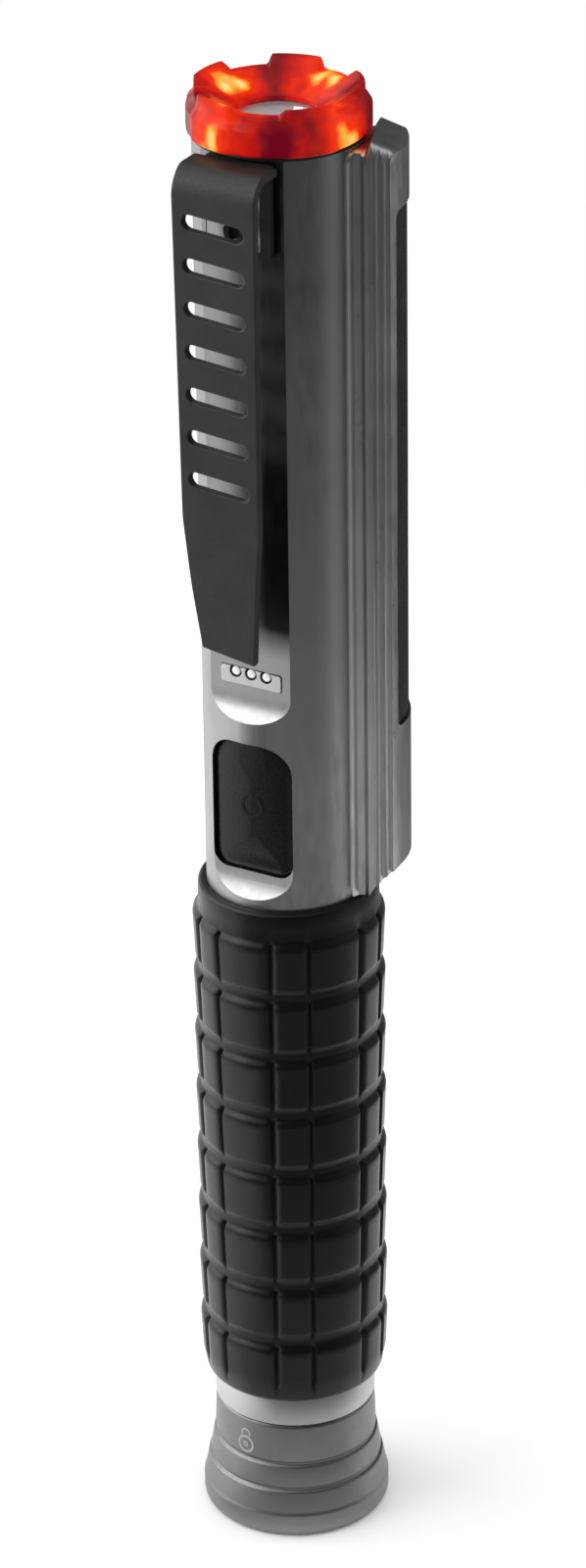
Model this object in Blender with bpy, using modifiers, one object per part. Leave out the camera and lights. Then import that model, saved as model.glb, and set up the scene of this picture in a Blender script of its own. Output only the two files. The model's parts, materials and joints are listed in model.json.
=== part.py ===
"""A traffic baton light: a torch with a glowing red bezel, a side light bar, a pocket clip and a magnet foot.

Shapes are drawn in millimetres and degrees, and to_object() turns them into metres. The foot stands on
z = 0 and the light bar faces +X. Pieces on the clip side are drawn with +X along the clip's outward
direction and hang on the empty CLIP_SIDE, which turns them into place.
"""

from math import cos, pi, radians, sin, sqrt

import bmesh
import bpy
from mathutils import Matrix, Vector

MM = 0.001
WELD = 0.0001
CLIP_TURN = 249.0
ROUND = 40
FINE_ROUND = 48

# The aluminium head housing and the battery tube below it.
BODY_R = 13.0
BODY_BOTTOM = 112.0
BODY_TOP = 240.4
BORE_R = 10.0
TUBE_R = 12.3
TUBE_BOTTOM = 9.0

# The light bar: half width, and the arc that closes its outer face.
BAR_HALF = 7.0
BAR_ARC_R = 13.8
BAR_ARC_X = 5.9
WINDOW_LOW = 145.4
WINDOW_HIGH = 230.7
WINDOW_HALF = 5.5
WINDOW_CORNER = 1.2
ROOF_FOOT = 240.15
ROOF_TOP = 241.6
ROOF_FALL = 0.4
ROOF_EDGE = 1.8

# Milled flats on the clip side, and what sits in them.
FLAT_X = 10.9
BUTTON_HALF = 7.1
BUTTON_LOW = 121.2
BUTTON_HIGH = 144.3
SWITCH_Z = 133.0
LAMP_Z = 154.95
LAMP_SPOTS = (-2.5, 0.2, 2.9)
SCREW_Z = 229.0

# The clip leaf: where it bends, its slots and its thickness.
CLIP_BEND = (12.75, 0.0, 239.5)
CLIP_THICK = 1.4
SLOT_TOP = 231.5
SLOT_PITCH = 6.92
SLOTS = 7

# The rubber grip: eight rows of shingle-like pads, six wide and six narrow ones in each row.
GRIP_BOTTOM = 25.9
GRIP_TOP = 115.7
PAD_R = 15.5
LEDGE_R = 14.6
GROOVE = 0.55
ROW_PITCH = 10.6
FIRST_LEDGE = 111.2
PAD_ROWS = 8
PAD_PAIRS = 6
PAD_TURN = 9.0

# The tail cap, its magnet and the lithium cell.
CAP_R = 15.4
CAP_BORE_R = 12.5
CAP_FLOOR = 7.0
MAGNET_R = 12.0
CELL_R = 9.2
CELL_LOW = 20.0
CELL_HIGH = 85.0

# The scalloped bezel ring.
LOBES = 5
LOBE_TURN = 13.0
RING_LOW = 241.1
RING_HIGH = 248.3
RING_R = 14.2
NOTCH = 1.5

# The red lamps that light the bezel from inside.
HAZARD_LEDS = 4
HAZARD_TURN = 54.0

LOOKS = {
    "body_metal": ((0.17, 0.175, 0.18), 0.38, 0.85),
    "band_metal": ((0.38, 0.385, 0.39), 0.35, 0.85),
    "cap_metal": ((0.22, 0.225, 0.23), 0.36, 0.85),
    "grip_rubber": ((0.018, 0.018, 0.02), 0.6, 0.0),
    "black_rubber": ((0.015, 0.015, 0.016), 0.65, 0.0),
    "clip_steel": ((0.02, 0.02, 0.022), 0.35, 0.4),
    "base_steel": ((0.45, 0.45, 0.46), 0.4, 0.9),
    "dark_screw": ((0.03, 0.03, 0.032), 0.35, 0.9),
    "red_plastic": ((0.75, 0.02, 0.01), 0.2, 0.0),
    "white_plastic": ((0.8, 0.8, 0.78), 0.45, 0.0),
    "clear_plastic": ((0.75, 0.77, 0.8), 0.1, 0.0),
    "smoked_plastic": ((0.05, 0.05, 0.055), 0.1, 0.0),
    "circuit_board": ((0.03, 0.15, 0.07), 0.5, 0.0),
    "board_metal": ((0.6, 0.6, 0.6), 0.35, 0.9),
    "phosphor": ((0.85, 0.65, 0.12), 0.5, 0.0),
    "led_white": ((0.9, 0.85, 0.55), 0.4, 0.0),
    "led_red": ((0.8, 0.05, 0.03), 0.4, 0.0),
    "mirror_coat": ((0.85, 0.85, 0.86), 0.1, 1.0),
    "spring_steel": ((0.65, 0.62, 0.55), 0.3, 1.0),
    "cell_wrap": ((0.05, 0.12, 0.3), 0.4, 0.0),
    "magnet_nickel": ((0.6, 0.6, 0.62), 0.25, 1.0),
    "lamp_dark": ((0.04, 0.04, 0.045), 0.4, 0.0),
    "chip_black": ((0.02, 0.02, 0.02), 0.5, 0.0),
}


def clear_scene():
    for obj in list(bpy.data.objects):
        bpy.data.objects.remove(obj, do_unlink=True)


def new_collection(name, hidden):
    made = bpy.data.collections.new(name)
    bpy.context.scene.collection.children.link(made)
    made.hide_render = hidden
    return made


def new_side(name, turn):
    """An empty turned about the baton's axis, for the pieces on one side to hang on."""
    made = bpy.data.objects.new(name, None)
    made.rotation_euler.z = radians(turn)
    made.empty_display_size = 20 * MM
    BATON.objects.link(made)
    return made


def material(look):
    found = bpy.data.materials.get(look)
    if found:
        return found
    made = bpy.data.materials.new(look)
    made.use_nodes = True
    colour, roughness, metallic = LOOKS[look]
    shader = made.node_tree.nodes["Principled BSDF"]
    shader.inputs["Base Color"].default_value = (*colour, 1.0)
    shader.inputs["Roughness"].default_value = roughness
    shader.inputs["Metallic"].default_value = metallic
    made.diffuse_color = (*colour, 1.0)
    return made


# ---- from shapes in millimetres to objects in metres


def to_object(name, shape, origin, side):
    """An object whose own origin sits at the given point, with faces pointing out and smooth round sides."""
    bmesh.ops.recalc_face_normals(shape, faces=shape.faces)
    bmesh.ops.translate(shape, verts=shape.verts, vec=-Vector(origin))
    bmesh.ops.scale(shape, verts=shape.verts, vec=(MM, MM, MM))
    mesh = bpy.data.meshes.new(name)
    shape.to_mesh(mesh)
    shape.free()
    mesh.shade_smooth()
    mesh.set_sharp_from_angle(angle=radians(32))
    made = bpy.data.objects.new(name, mesh)
    made.location = Vector(origin) * MM
    made.parent = side
    return made


def make(name, shape, look, side=None, origin=(0.0, 0.0, 0.0)):
    made = to_object(name, shape, origin, side)
    made.data.materials.append(material(look))
    BATON.objects.link(made)
    return made


def cut(target, shape, side=None, operation="DIFFERENCE"):
    """Takes a shape away from a piece, or with UNION adds it."""
    tool = to_object(f"{target.name}_tool_{len(CUTTERS.objects)}", shape, (0.0, 0.0, 0.0), side)
    tool.hide_render = True
    tool.display_type = "WIRE"
    CUTTERS.objects.link(tool)
    step = target.modifiers.new(tool.name, "BOOLEAN")
    step.operation = operation
    step.object = tool


def soften(target, width):
    """Takes the sharp edge off a piece's corners."""
    step = target.modifiers.new("edges", "BEVEL")
    step.width = width * MM
    step.segments = 1
    step.limit_method = "ANGLE"
    step.angle_limit = radians(40)


def baked(source):
    """The shape that a curve or a modified object shows. The source itself is removed."""
    BATON.objects.link(source)
    bpy.context.view_layer.update()
    seen = source.evaluated_get(bpy.context.evaluated_depsgraph_get())
    mesh = bpy.data.meshes.new_from_object(seen)
    shape = bmesh.new()
    shape.from_mesh(mesh)
    bmesh.ops.remove_doubles(shape, verts=shape.verts, dist=WELD)
    bpy.data.meshes.remove(mesh)
    bpy.data.objects.remove(source, do_unlink=True)
    return shape


# ---- basic shapes


def disc(radius, low, high, steps=ROUND):
    """A cylinder standing between two heights."""
    shape = bmesh.new()
    place = Matrix.Translation((0, 0, (low + high) / 2))
    bmesh.ops.create_cone(
        shape,
        cap_ends=True,
        segments=steps,
        radius1=radius,
        radius2=radius,
        depth=high - low,
        matrix=place,
    )
    return shape


def peg(radius, x_low, x_high, y, z, steps=20):
    """A cylinder lying along x."""
    shape = disc(radius, x_low, x_high, steps)
    bmesh.ops.rotate(shape, verts=shape.verts, cent=(0, 0, 0), matrix=Matrix.Rotation(pi / 2, 3, "Y"))
    bmesh.ops.translate(shape, verts=shape.verts, vec=(0, y, z))
    return shape


def block(x, y, z):
    """A block from three (low, high) pairs."""
    shape = bmesh.new()
    middle = Matrix.Translation([(low + high) / 2 for low, high in (x, y, z)])
    size = Matrix.Diagonal([high - low for low, high in (x, y, z)] + [1])
    bmesh.ops.create_cube(shape, size=1.0, matrix=middle @ size)
    return shape


def turned(profile, steps=ROUND):
    """A closed (radius, height) outline, listed up its outer side, turned a full circle."""
    outline = profile[::-1]
    ends = [(i, (i + 1) % len(outline)) for i in range(len(outline))]
    mesh = bpy.data.meshes.new("profile")
    mesh.from_pydata([(radius, 0, height) for radius, height in outline], ends, [])
    guide = bpy.data.objects.new("profile", mesh)
    turn = guide.modifiers.new("turn", "SCREW")
    turn.steps = steps
    turn.render_steps = steps
    turn.use_merge_vertices = True
    turn.merge_threshold = WELD
    return baked(guide)


def tube(outer, inner, low, high, steps=ROUND):
    return turned([(inner, low), (outer, low), (outer, high), (inner, high)], steps)


def plate(outline, low, high, place):
    """A flat outline, filled and thickened from one depth to another, then turned by a matrix."""
    curve = bpy.data.curves.new("outline", "CURVE")
    curve.dimensions = "2D"
    curve.fill_mode = "BOTH"
    curve.extrude = (high - low) / 2
    path = curve.splines.new("POLY")
    path.points.add(len(outline) - 1)
    path.use_cyclic_u = True
    for point, (a, b) in zip(path.points, outline):
        point.co = (a, b, 0, 1)
    shape = baked(bpy.data.objects.new("outline", curve))
    bmesh.ops.translate(shape, verts=shape.verts, vec=(0, 0, (low + high) / 2))
    bmesh.ops.transform(shape, verts=shape.verts, matrix=place)
    return shape


def along_x(outline, low, high):
    """A (y, z) outline thickened along x."""
    return plate(outline, low, high, Matrix.Rotation(pi / 2, 4, "Z") @ Matrix.Rotation(pi / 2, 4, "X"))


def along_y(outline, half):
    """An (x, z) outline thickened along y to both sides."""
    return plate(outline, -half, half, Matrix.Rotation(pi / 2, 4, "X"))


def loft(rings, closed=False):
    """Joins unlike sections of equal length. An open loft gets an end face at each end."""
    shape = bmesh.new()
    rows = [[shape.verts.new(point) for point in ring] for ring in rings]
    count = len(rows[0])
    pairs = list(zip(rows, rows[1:]))
    if closed:
        pairs.append((rows[-1], rows[0]))
    for low, high in pairs:
        for i in range(count):
            j = (i + 1) % count
            shape.faces.new((low[i], low[j], high[j], high[i]))
    if not closed:
        shape.faces.new(rows[0][::-1])
        shape.faces.new(rows[-1])
    return shape


def around(sections):
    """A closed ring through (angle, [(radius, height), ...]) sections that change as they go round."""
    rings = []
    for angle, section in sections:
        a = radians(angle)
        rings.append([(radius * cos(a), radius * sin(a), height) for radius, height in section])
    return loft(rings, closed=True)


def arc(centre_a, centre_b, radius, start, sweep, steps):
    """Points along an arc in a plane."""
    angles = [radians(start + sweep * i / steps) for i in range(steps + 1)]
    return [(centre_a + radius * cos(a), centre_b + radius * sin(a)) for a in angles]


def rounded(half, low, high, low_r, high_r, steps=5):
    """A (y, z) outline with one corner radius at the bottom and one at the top."""
    points = arc(half - low_r, low + low_r, low_r, -90, 90, steps)
    points += arc(half - high_r, high - high_r, high_r, 0, 90, steps)
    points += arc(high_r - half, high - high_r, high_r, 90, 90, steps)
    return points + arc(low_r - half, low + low_r, low_r, 180, 90, steps)


# ---- head housing


def bar_arc(y, inset=0.0):
    """How far out the light bar's rounded face lies at a given y."""
    return BAR_ARC_X + sqrt((BAR_ARC_R - inset) ** 2 - y * y)


def light_bar_shape():
    """The bar as slices across x: a hollow, ridged side walls, a raised sloped roof and a round face."""
    groove = BAR_HALF - 0.4
    slices = [
        (5.0, 6.9, 116.0, ROOF_FOOT),
        (11.2, 6.9, 116.0, ROOF_FOOT),
        (11.9, 6.0, 116.0, ROOF_FOOT),
        (13.4, 6.0, 116.1, ROOF_FOOT),
        (13.9, BAR_HALF, 116.4, ROOF_FOOT + 0.05),
        (14.75, BAR_HALF, 117.5, roof(14.75)),
        (14.95, groove, 117.8, roof(14.95)),
        (15.2, BAR_HALF, 118.2, roof(15.2)),
        (15.9, BAR_HALF, 119.1, roof(15.9)),
        (16.15, groove, 119.4, roof(16.15)),
        (16.5, BAR_HALF, 119.8, roof(16.5)),
        (17.1, BAR_HALF, 120.4, roof(17.1)),
        (17.4, groove, 120.8, roof(17.4)),
    ]
    face = ((0.993, 120.8), (0.85, 121.1), (0.63, 121.3), (0.2, 121.4))
    for share, low in face:
        out = bar_arc(BAR_HALF * share)
        slices.append((out, BAR_HALF * share, low, roof(out)))
    rings = []
    for x, w, low, high in slices:
        slant = min(ROOF_EDGE, w * 0.8)
        right = [(x, w, low), (x, w, high - slant), (x, w - slant * 0.8, high)]
        left = [(x, slant * 0.8 - w, high), (x, -w, high - slant), (x, -w, low)]
        rings.append(right + left)
    return loft(rings)


def roof(x):
    """The height of the bar's roof, which falls away outward."""
    return ROOF_TOP - ROOF_FALL * (x - 14.75)


def window_outline(inset):
    """The bar window's outline, drawn in from all its sides by the same amount."""
    corner = max(WINDOW_CORNER - inset, 0.4)
    return rounded(WINDOW_HALF - inset, WINDOW_LOW + inset, WINDOW_HIGH - inset, corner, corner, 3)


def mill_flats(housing):
    """The two flats on the clip side, each with a scooped lower end, and the openings in them."""
    clip_flat = [(FLAT_X, 242), (FLAT_X, 152.3), (11.4, 150.9), (12.2, 149.2), (13.0, 147.9)]
    cut(housing, along_y(clip_flat + [(15, 145.6), (15, 242)], 9), CLIP_SIDE)
    top = BUTTON_HIGH + 0.1
    button_flat = [(FLAT_X, top), (FLAT_X, 122.1), (11.4, 120.4), (12.2, 118.5), (13.0, 117.3)]
    cut(housing, along_y(button_flat + [(14.2, 116.4), (14.2, top)], 9), CLIP_SIDE)
    opening = rounded(BUTTON_HALF + 0.1, BUTTON_LOW - 0.1, top, 2.6, 5.1)
    cut(housing, along_x(opening, 6, 14), CLIP_SIDE)
    cut(housing, block((6, 14), (-5.25, 5.65), (LAMP_Z - 1.65, LAMP_Z + 1.45)), CLIP_SIDE)
    cut(housing, peg(1.3, 8, 14, 0.0, SCREW_Z, 16), CLIP_SIDE)


def build_housing():
    housing = make("body_housing", disc(BODY_R, BODY_BOTTOM, BODY_TOP, 64), "body_metal")
    cut(housing, light_bar_shape(), operation="UNION")
    cut(housing, disc(BORE_R, BODY_BOTTOM - 1, BODY_TOP + 1))
    cut(housing, disc(11.1, BODY_BOTTOM - 1, 116.3))
    cut(housing, disc(10.45, 236.9, BODY_TOP + 1))
    mill_flats(housing)
    cut(housing, along_x(window_outline(0.0), 14.4, 21))


def build_tube():
    profile = [
        (BORE_R, TUBE_BOTTOM),
        (11.9, TUBE_BOTTOM),
        (TUBE_R, 9.4),
        (TUBE_R, 18.0),
        (11.6, 18.0),
        (11.6, 19.5),
        (TUBE_R, 19.5),
        (TUBE_R, 111.8),
        (10.9, 111.8),
        (10.9, 116.1),
        (BORE_R, 116.1),
    ]
    make("battery_tube", turned(profile), "body_metal")
    make("neck_ring", tube(13.2, 12.45, 20.5, 25.7, FINE_ROUND), "band_metal")


# ---- rubber grip


def grip_columns():
    """(angle, depth) around the grip: a wide pad, a groove, a narrow pad and a groove, six times over."""
    wide = [(angle, 0.0) for angle in (-17.0, -6.0, 6.0, 17.0)]
    narrow = [(angle, 0.1) for angle in (19.6, 30.0, 40.4)]
    pair = wide + [(18.3, GROOVE)] + narrow + [(41.7, GROOVE)]
    step = 360.0 / PAD_PAIRS
    return sorted((PAD_TURN + step * k + angle, depth) for k in range(PAD_PAIRS) for angle, depth in pair)


def grip_levels():
    """(height, radius, grooved) from the bottom to the top of the sleeve's outside."""
    levels = [(GRIP_BOTTOM, 14.0, 0), (26.5, 14.7, 0), (28.6, 15.1, 0)]
    for row in reversed(range(PAD_ROWS)):
        ledge = FIRST_LEDGE - ROW_PITCH * row
        if row < PAD_ROWS - 1:
            levels += [(ledge - 9.5, LEDGE_R, 1), (ledge - 8.6, PAD_R - 0.4, 1)]
        levels += [(ledge - 1.6, PAD_R, 1), (ledge, LEDGE_R, 0)]
    return levels + [(113.5, 14.45, 0), (115.2, 14.4, 0), (GRIP_TOP, 13.9, 0)]


def build_grip():
    inside = [(13.2, GRIP_TOP), (13.2, 111.9), (12.5, 111.9), (12.5, GRIP_BOTTOM)]
    sections = []
    for angle, depth in grip_columns():
        outside = [(radius - depth * grooved, height) for height, radius, grooved in grip_levels()]
        sections.append((angle, outside + inside))
    make("grip_sleeve", around(sections), "grip_rubber")


# ---- tail cap, battery and springs


def build_tail():
    outside = [
        (CAP_R - 1.1, 0.0),
        (CAP_R - 0.4, 0.35),
        (CAP_R, 1.3),
        (CAP_R, 4.1),
        (CAP_R - 0.25, 4.6),
        (14.45, 8.3),
        (14.05, 8.6),
        (14.05, 8.9),
        (14.15, 9.2),
        (13.6, 12.7),
        (13.2, 12.9),
        (13.2, 13.3),
        (13.35, 13.6),
        (13.15, 20.0),
        (12.9, 20.3),
        (CAP_BORE_R, 20.3),
    ]
    inside = [(CAP_BORE_R, CAP_FLOOR), (0.6, CAP_FLOOR), (0.6, 4.8), (12.2, 4.8), (12.2, 0.0)]
    make("tail_cap", turned(outside + inside, FINE_ROUND), "cap_metal")
    make("tail_cap_seal", tube(12.4, 11.7, 18.15, 19.35), "black_rubber")
    make("tail_magnet", disc(MAGNET_R, 0.0, 3.6), "magnet_nickel")
    make("magnet_plate", disc(MAGNET_R, 3.7, 4.7), "base_steel")
    make("tail_contact_board", disc(11.6, 7.1, 8.1), "circuit_board")


def build_spring(name, start_r, end_r, low, high, turns):
    """A coil of round wire between two heights, wound from one radius to another."""
    wire = bpy.data.curves.new(name, "CURVE")
    wire.dimensions = "3D"
    wire.bevel_depth = 0.45 * MM
    wire.bevel_resolution = 2
    wire.use_fill_caps = True
    count = 12 * turns
    path = wire.splines.new("POLY")
    path.points.add(count)
    for i in range(count + 1):
        share = i / count
        angle = 2 * pi * turns * share
        radius = start_r + (end_r - start_r) * share
        height = low + 0.5 + (high - low - 1.0) * share
        path.points[i].co = (radius * cos(angle) * MM, radius * sin(angle) * MM, height * MM, 1)
    wire.materials.append(material("spring_steel"))
    BATON.objects.link(bpy.data.objects.new(name, wire))


def build_battery():
    build_spring("tail_contact_spring", 7.0, 4.0, 8.2, CELL_LOW - 0.4, 4)
    wrap = [
        (0.5, CELL_LOW),
        (CELL_R - 0.4, CELL_LOW),
        (CELL_R, CELL_LOW + 0.4),
        (CELL_R, CELL_HIGH - 0.4),
        (CELL_R - 0.4, CELL_HIGH),
        (0.5, CELL_HIGH),
    ]
    make("battery_cell", turned(wrap), "cell_wrap")
    make("battery_terminal", disc(3.4, CELL_HIGH + 0.1, CELL_HIGH + 1.2, 24), "board_metal")
    build_spring("front_contact_spring", 3.0, 5.5, CELL_HIGH + 1.4, CELL_HIGH + 10.4, 3)
    make("contact_board", disc(9.6, CELL_HIGH + 10.5, CELL_HIGH + 12.1), "circuit_board")


# ---- electronics, switch and indicator


def build_electronics():
    make("driver_board", block((-0.6, 0.6), (-8.2, 8.2), (97.3, 117.0)), "circuit_board")
    make("driver_coil", peg(3.3, 0.7, 4.4, 0.0, 103.5, 16), "chip_black")
    make("driver_chip", block((-2.0, -0.7), (-2.4, 2.4), (108.0, 113.0)), "chip_black")
    make("switch_carrier", block((2.6, 5.2), (-7.4, 7.4), (119.0, 159.0)), "white_plastic", CLIP_SIDE)
    make("switch_board", block((5.3, 6.3), (-6.4, 6.4), (124.0, 142.0)), "circuit_board", CLIP_SIDE)
    reach = (SWITCH_Z - 2.6, SWITCH_Z + 2.6)
    body = make("switch_body", block((6.4, 8.0), (-2.6, 2.6), reach), "chip_black", CLIP_SIDE)
    cut(body, peg(1.75, 6.9, 9, 0.0, SWITCH_Z), CLIP_SIDE)
    plunger = peg(1.5, 7.7, 8.7, 0.0, SWITCH_Z)
    make("switch_plunger", plunger, "white_plastic", CLIP_SIDE, origin=(8.2, 0.0, SWITCH_Z))
    make("indicator_board", block((5.3, 6.3), (-5.0, 5.0), (152.0, 158.6)), "circuit_board", CLIP_SIDE)


def build_button():
    face = rounded(BUTTON_HALF - 0.1, BUTTON_LOW + 0.1, BUTTON_HIGH - 0.1, 2.5, 5.0)
    pad = along_x(face, 9.2, 11.1)
    button = make("power_button", pad, "black_rubber", CLIP_SIDE, origin=(10.0, 0.0, SWITCH_Z))
    soften(button, 0.35)
    cut(button, peg(1.9, 8.75, 9.6, 0.0, SWITCH_Z), CLIP_SIDE, "UNION")


def build_indicator():
    bar = block((9.3, 11.1), (-5.1, 5.5), (LAMP_Z - 1.5, LAMP_Z + 1.3))
    window = make("indicator_window", bar, "white_plastic", CLIP_SIDE)
    for number, y in enumerate(LAMP_SPOTS, 1):
        cut(window, peg(0.95, 8, 13, y, LAMP_Z), CLIP_SIDE)
        make(f"indicator_lamp_{number}", peg(0.8, 6.5, 11.15, y, LAMP_Z, 12), "lamp_dark", CLIP_SIDE)


# ---- pocket clip


def strip(path, tip_drop):
    """A bent, tapering strip from (x, z, width) points of its outer face. Its tip is cut at a slant."""
    rings = []
    for i, (x, z, width) in enumerate(path):
        before = path[max(i - 1, 0)]
        after = path[min(i + 1, len(path) - 1)]
        along = Vector((after[0] - before[0], after[1] - before[1])).normalized()
        inner_x = x + along.y * CLIP_THICK
        inner_z = z - along.x * CLIP_THICK
        half = width / 2
        drop = tip_drop if i == len(path) - 1 else 0.0
        outer_edge = [(x, -half, z + drop), (x, half, z - drop)]
        rings.append(outer_edge + [(inner_x, half, inner_z - drop), (inner_x, -half, inner_z + drop)])
    return loft(rings)


def slot(y, z, length, width, slant, x_low, x_high):
    """A round-ended slot through the clip, tipped down towards +y."""
    r = width / 2
    reach = length / 2 - r
    outline = arc(reach, 0.0, r, -90, 180, 5) + arc(-reach, 0.0, r, 90, 180, 5)
    tip = Matrix.Rotation(radians(-slant), 2)
    tipped = [tip @ Vector(point) + Vector((y, z)) for point in outline]
    return along_x([tuple(point) for point in tipped], x_low, x_high)


def build_clip():
    leaf = [
        (12.65, 240.1, 14.2),
        (17.3, 240.0, 14.2),
        (19.2, 237.9, 14.2),
        (19.75, 236.6, 14.2),
        (19.1, 183.7, 13.5),
        (18.6, 173.0, 11.6),
        (17.5, 160.9, 9.2),
    ]
    clip = make("pocket_clip", strip(leaf, 0.7), "clip_steel", CLIP_SIDE, origin=CLIP_BEND)
    soften(clip, 0.3)
    for number in range(SLOTS):
        cut(clip, slot(-0.1, SLOT_TOP - SLOT_PITCH * number, 10.4, 2.4, 5.0, 15, 22), CLIP_SIDE)
    base = make("clip_base", block((11.1, 12.3), (-5.5, 5.5), (225.1, 240.0)), "base_steel", CLIP_SIDE)
    cut(base, peg(1.3, 10, 14, 0.0, SCREW_Z, 16), CLIP_SIDE)
    screw = make("clip_screw", peg(2.1, 12.4, 13.7, 0.0, SCREW_Z, 16), "dark_screw", CLIP_SIDE)
    cut(screw, peg(1.1, 10.1, 13.0, 0.0, SCREW_Z, 16), CLIP_SIDE, "UNION")
    cut(screw, peg(0.9, 13.1, 15, 0.0, SCREW_Z, 6), CLIP_SIDE)


# ---- light bar


def lens_shape(half, corner, back):
    """A plate with a rounded outline, flat at the back and following the bar's round face in front."""
    rings = []
    for share in (-1.0, -0.93, -0.8, -0.55, -0.3, 0.0, 0.3, 0.55, 0.8, 0.93, 1.0):
        y = half * share
        beyond = max(abs(y) - (half - corner), 0.0)
        rise = corner - sqrt(corner * corner - beyond * beyond)
        low, high = WINDOW_LOW + 0.15 + rise, WINDOW_HIGH - 0.15 - rise
        out = bar_arc(y, 0.4)
        rings.append([(back, y, low), (out, y, low), (out, y, high), (back, y, high)])
    return loft(rings)


def build_light_bar():
    board = window_outline(0.2)
    make("cob_board", along_x(board, 14.5, 15.5), "board_metal")
    make("cob_strip", block((15.55, 16.3), (-3.2, 3.2), (149.0, 225.1)), "phosphor")
    frame = make("light_bar_gasket", along_x(board, 16.4, 17.2), "black_rubber")
    cut(frame, along_x(window_outline(1.4), 16, 18))
    make("light_bar_lens", lens_shape(WINDOW_HALF - 0.15, WINDOW_CORNER - 0.1, 17.3), "smoked_plastic")


# ---- bezel ring, front lens and lamp


def ring_section(offset):
    """The bezel ring's section at an angle from the middle of a lobe: a high crown, or a notch between."""
    away = abs(offset)
    top = RING_HIGH if away < 18 else RING_HIGH - NOTCH
    band = RING_R if away < 15 else RING_R - 0.2 if away < 18 else RING_R - 0.4
    return [
        (10.3, 237.4),
        (10.3, RING_LOW),
        (band - 0.3, RING_LOW),
        (band, RING_LOW + 0.5),
        (band, 245.3),
        (13.35, 246.1),
        (13.15, top),
        (12.35, top),
        (5.9, 244.1),
        (5.9, 243.3),
        (9.8, 243.3),
        (9.8, 237.4),
    ]


def build_bezel():
    offsets = (-36, -29, -23, -17.5, -14, -5, 5, 14, 17.5, 23, 29)
    step = 360.0 / LOBES
    sections = []
    for lobe in range(LOBES):
        sections += [(LOBE_TURN + step * lobe + offset, ring_section(offset)) for offset in offsets]
    make("bezel_ring", around(sections), "red_plastic")
    make("bezel_seal", tube(13.2, 10.7, 240.45, 241.05), "black_rubber")
    make("front_lens", disc(8.0, 242.2, 243.2), "clear_plastic")
    make("lens_gasket", tube(9.6, 8.2, 242.2, 243.1), "black_rubber")


def build_lamps():
    cup = [(2.7, 235.6), (3.6, 235.6), (7.6, 241.2), (7.6, 242.1), (7.1, 242.1)]
    make("reflector", turned(cup, 32), "mirror_coat")
    make("torch_led_board", disc(9.3, 233.8, 235.3), "board_metal")
    make("torch_led", block((-1.7, 1.7), (-1.7, 1.7), (235.35, 236.3)), "led_white")
    make("led_heatsink", disc(9.8, 229.0, 233.7), "board_metal")
    make("hazard_led_board", tube(9.65, 7.9, 239.4, 240.4), "circuit_board")
    for number in range(HAZARD_LEDS):
        lamp = make(f"hazard_led_{number + 1}", block((8.0, 9.5), (-1.0, 1.0), (240.45, 241.5)), "led_red")
        lamp.rotation_euler.z = radians(HAZARD_TURN + 360.0 / HAZARD_LEDS * number)


clear_scene()
BATON = new_collection("traffic_baton_light", False)
CUTTERS = new_collection("cutters", True)
CLIP_SIDE = new_side("clip_side", CLIP_TURN)
build_housing()
build_tube()
build_grip()
build_tail()
build_battery()
build_electronics()
build_button()
build_indicator()
build_clip()
build_light_bar()
build_bezel()
build_lamps()
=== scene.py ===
"""The looks of a traffic baton light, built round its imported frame.

Sections are drawn in millimetres in the frame's own axes: +Z up the baton, +X out of the light bar.
Pieces on the clip side are drawn with +X along the clip's outward direction and turned by CLIP_TURN.
"""

import json
from math import atan2, cos, exp, hypot, pi, radians, sin, sqrt

import bmesh
import bpy
from mathutils import Matrix, Vector


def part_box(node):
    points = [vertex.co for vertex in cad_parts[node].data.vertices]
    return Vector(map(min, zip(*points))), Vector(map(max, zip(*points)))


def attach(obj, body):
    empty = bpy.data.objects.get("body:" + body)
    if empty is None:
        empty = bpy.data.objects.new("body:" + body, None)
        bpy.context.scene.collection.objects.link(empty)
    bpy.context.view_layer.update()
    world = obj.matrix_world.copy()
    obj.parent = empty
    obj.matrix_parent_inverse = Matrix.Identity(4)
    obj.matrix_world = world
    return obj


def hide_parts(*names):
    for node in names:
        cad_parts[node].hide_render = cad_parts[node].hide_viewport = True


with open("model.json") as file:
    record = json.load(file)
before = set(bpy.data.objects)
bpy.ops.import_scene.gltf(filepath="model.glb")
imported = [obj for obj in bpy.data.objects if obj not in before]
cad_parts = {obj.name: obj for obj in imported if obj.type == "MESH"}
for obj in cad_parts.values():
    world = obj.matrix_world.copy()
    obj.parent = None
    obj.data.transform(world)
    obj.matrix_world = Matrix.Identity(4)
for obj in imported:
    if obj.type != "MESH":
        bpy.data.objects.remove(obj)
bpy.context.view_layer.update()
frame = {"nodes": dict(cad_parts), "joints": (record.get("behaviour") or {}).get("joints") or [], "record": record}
MM = 0.001


def box_mm(node):
    """A CAD node's lowest and highest corners, in millimetres."""
    low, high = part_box(node)
    return Vector(low) / MM, Vector(high) / MM


def joint(name):
    """A joint's entry in the frame."""
    return next(entry for entry in frame["joints"] if entry["name"] == name)


# ---- places read from the frame

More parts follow.
